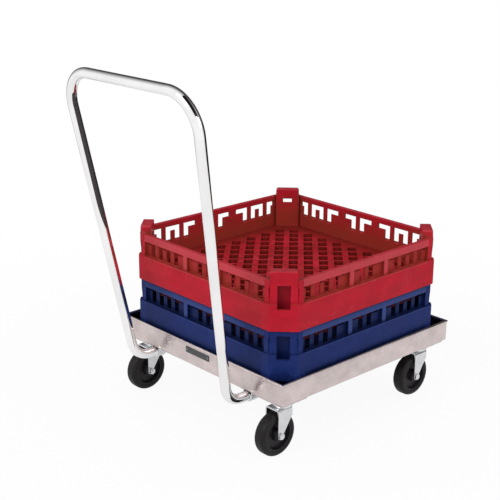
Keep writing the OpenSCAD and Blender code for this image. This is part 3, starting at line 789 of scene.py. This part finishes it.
class DOLLY_OT_bare_plate(bpy.types.Operator):
    """Rivet a bare plate to the rail on the handle's side"""

    bl_idname = "rack_dolly.bare_plate"
    bl_label = "Bare plate"

    def execute(self, context):
        sizes = context.scene.rack_dolly_sizes
        low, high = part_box("rail_handle_side")
        face = low.y + BEAD_DEPTH
        height = high.z - sizes.plate_drop - sizes.plate_height / 2
        middle = Vector((0, face - sizes.plate_thickness / 2, height))
        shape = bmesh.new()
        bmesh.ops.create_cube(shape, size=1)
        size = (sizes.plate_width, sizes.plate_thickness, sizes.plate_height)
        bmesh.ops.scale(shape, vec=size, verts=shape.verts)
        across = [e for e in shape.edges if e.verts[0].co.y * e.verts[1].co.y < 0]
        self.bevel(shape, across, PLATE_CORNER, 4)
        rim = [e for e in shape.edges if all(v.co.y < 0 for v in e.verts)]
        self.bevel(shape, rim, PLATE_EDGE, 2)
        bmesh.ops.translate(shape, vec=middle, verts=shape.verts)
        enamel = self.enamel(context.scene.rack_dolly_finishes.plate)
        add_piece("bare_plate", shape, "dolly", enamel)
        self.rivets(context, sizes, middle)
        return {"FINISHED"}

    def enamel(self, base):
        """Dark enamel, clouded and scuffed."""
        made = Finish("plate_enamel", Specular_IOR_Level=0.5)
        tree = made.tree
        cloud = made.grain((120, 120, 240), 4.0)
        worn = made.scuffs(220.0, 0.8)
        tone = tint(tree, contrast(tree, cloud), shade(base, 0.8), shade(base, 1.3))
        made.feed("Base Color", tint(tree, worn, tone, shade(base, 4.0)))
        made.feed("Roughness", contrast(tree, cloud, 0.3, 0.45))
        made.bump(cloud, 0.00005, 0.4)
        return made.material

    def bevel(self, shape, edges, offset, segments):
        """Rounds edges of the plate."""
        bmesh.ops.bevel(
            shape, geom=edges, offset=offset, segments=segments, profile=0.5, affect="EDGES",
            material=-1, clamp_overlap=True,
        )

    def rivets(self, context, sizes, middle):
        """Sets a domed rivet at each end of the plate."""
        zinc = shade(context.scene.rack_dolly_finishes.zinc, 0.35)
        steel = plated_steel("rivet_steel", zinc, 0.22, 0.36)
        inset = sizes.plate_width / 2 - RIVET_INSET
        shape = bmesh.new()
        for side in (-1, 1):
            made = bmesh.ops.create_uvsphere(
                shape, u_segments=24, v_segments=12, radius=sizes.rivet_radius
            )
            bmesh.ops.scale(shape, vec=(1, RIVET_DOME, 1), verts=made["verts"])
            place = middle + Vector((side * inset, -sizes.plate_thickness / 2, 0))
            bmesh.ops.translate(shape, vec=place, verts=made["verts"])
        add_piece("plate_rivets", shape, "dolly", steel)


class DOLLY_OT_push_handle(bpy.types.Operator):
    """Finish the push handle, its plugs, straps and bolts"""

    bl_idname = "rack_dolly.push_handle"
    bl_label = "Push handle"

    def execute(self, context):
        finishes = context.scene.rack_dolly_finishes
        finish_nodes(("handle_tube",), bright_chrome(finishes.chrome))
        finish_nodes(("handle_plugs",), black_moulding("plug_plastic", finishes.plug))
        zinc = plated_steel("strap_zinc", finishes.zinc, 0.2, 0.34)
        finish_nodes(("handle_straps", "strap_bolts", "strap_nuts"), zinc)
        return {"FINISHED"}


class DOLLY_OT_casters(bpy.types.Operator):
    """Finish the casters and their fasteners"""

    bl_idname = "rack_dolly.casters"
    bl_label = "Casters"

    def execute(self, context):
        finishes = context.scene.rack_dolly_finishes
        zinc = plated_steel("caster_zinc", finishes.zinc, 0.16, 0.3)
        finish_nodes(numbered("caster_plate", "kingpin", "fork", "axle", "axle_nut"), zinc)
        finish_nodes(("caster_bolts", "caster_nuts"), zinc)
        steel = plated_steel("ground_steel", finishes.steel, 0.14, 0.24)
        finish_nodes(numbered("swivel_balls", "spanner_bush"), steel)
        finish_nodes(numbered("wheel_core"), black_moulding("core_plastic", finishes.core))
        finish_nodes(numbered("tyre"), tyre_rubber(finishes.rubber))
        return {"FINISHED"}


class DOLLY_OT_racks(bpy.types.Operator):
    """Round the moulded edges of the racks and finish them in coloured plastic"""

    bl_idname = "rack_dolly.racks"
    bl_label = "Racks"

    def execute(self, context):
        finishes = context.scene.rack_dolly_finishes
        sizes = context.scene.rack_dolly_sizes
        blue = moulded_polypropylene(
            "blue_polypropylene",
            finishes.blue, finishes.blue_scuffed_and_lit, finishes.blue_shade_and_dirt, finishes.blue_shade_and_dirt,
            *self.places(sizes, "lower_rack"),
        )
        red = moulded_polypropylene(
            "red_polypropylene",
            finishes.red, finishes.red_scuffed_and_lit, finishes.red_shade_and_dirt, finishes.red_wall_shade,
            *self.places(sizes, "upper_rack"),
        )
        self.rounded("lower_rack", "blue_plastic", blue, sizes)
        self.rounded("upper_rack", "red_plastic", red, sizes)
        return {"FINISHED"}

    def places(self, sizes, node):
        """A rack's levels, its middle, and how far out its posts and its set-back wall are."""
        low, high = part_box(node)
        heights = (sizes.shaded_base, sizes.floor_top, sizes.light_and_shade_level)
        levels = (*(low.z + h for h in heights), high.z - sizes.rubbed_rim)
        return levels, (low + high) / 2, sizes.post_reach, sizes.wall_reach

    def rounded(self, node, slot, material, sizes):
        """Rounds a rack's edges, apart from those of its floor grid."""
        low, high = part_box(node)
        middle = (low + high) / 2

        def in_floor(edge):
            return all(
                v.co.z < low.z + sizes.floor_top
                and max(abs(v.co.x - middle.x), abs(v.co.y - middle.y)) < sizes.floor_reach
                for v in edge.verts
            )

        shape = bmesh.new()
        shape.from_mesh(nodes[node].data)
        bmesh.ops.remove_doubles(shape, verts=shape.verts, dist=ONE_POINT)
        sharp = [e for e in shape.edges if e.is_manifold and e.calc_face_angle(0) > SHARP_EDGE]
        sharp = [e for e in sharp if not in_floor(e)]
        bmesh.ops.bevel(
            shape, geom=sharp, offset=sizes.rack_edge, segments=2, profile=0.5, affect="EDGES",
            material=-1, clamp_overlap=False,
        )
        piece = add_piece(node + "_shell", shape, node, material)
        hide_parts(node)


class DOLLY_PT_sidebar(bpy.types.Panel):
    """Sizes, colours and steps of the dolly"""

    bl_idname = "DOLLY_PT_sidebar"
    bl_label = "Glass rack dolly"
    bl_space_type = "VIEW_3D"
    bl_region_type = "UI"
    bl_category = "Rack dolly"

    def draw(self, context):
        for group in ("finishes", "sizes", "stage"):
            settings = getattr(context.scene, "rack_dolly_" + group)
            box = self.layout.box()
            for name in settings.__annotations__:
                box.prop(settings, name)
        for step in STEPS:
            self.layout.operator(step.bl_idname)


STEPS = (
    DOLLY_OT_stage,
    DOLLY_OT_frame_rails,
    DOLLY_OT_bare_plate,
    DOLLY_OT_push_handle,
    DOLLY_OT_casters,
    DOLLY_OT_racks,
)
CLASSES = (DollyFinishes, DollySizes, DollyStage, *STEPS, DOLLY_PT_sidebar)


def register():
    for cls in CLASSES:
        bpy.utils.register_class(cls)
    bpy.types.Scene.rack_dolly_finishes = PointerProperty(type=DollyFinishes)
    bpy.types.Scene.rack_dolly_sizes = PointerProperty(type=DollySizes)
    bpy.types.Scene.rack_dolly_stage = PointerProperty(type=DollyStage)


def unregister():
    del bpy.types.Scene.rack_dolly_stage
    del bpy.types.Scene.rack_dolly_sizes
    del bpy.types.Scene.rack_dolly_finishes
    for cls in reversed(CLASSES):
        bpy.utils.unregister_class(cls)


def main():
    register()
    bpy.ops.rack_dolly.stage()
    bpy.ops.rack_dolly.frame_rails()
    bpy.ops.rack_dolly.bare_plate()
    bpy.ops.rack_dolly.push_handle()
    bpy.ops.rack_dolly.casters()
    bpy.ops.rack_dolly.racks()


if __name__ == "__main__":
    main()
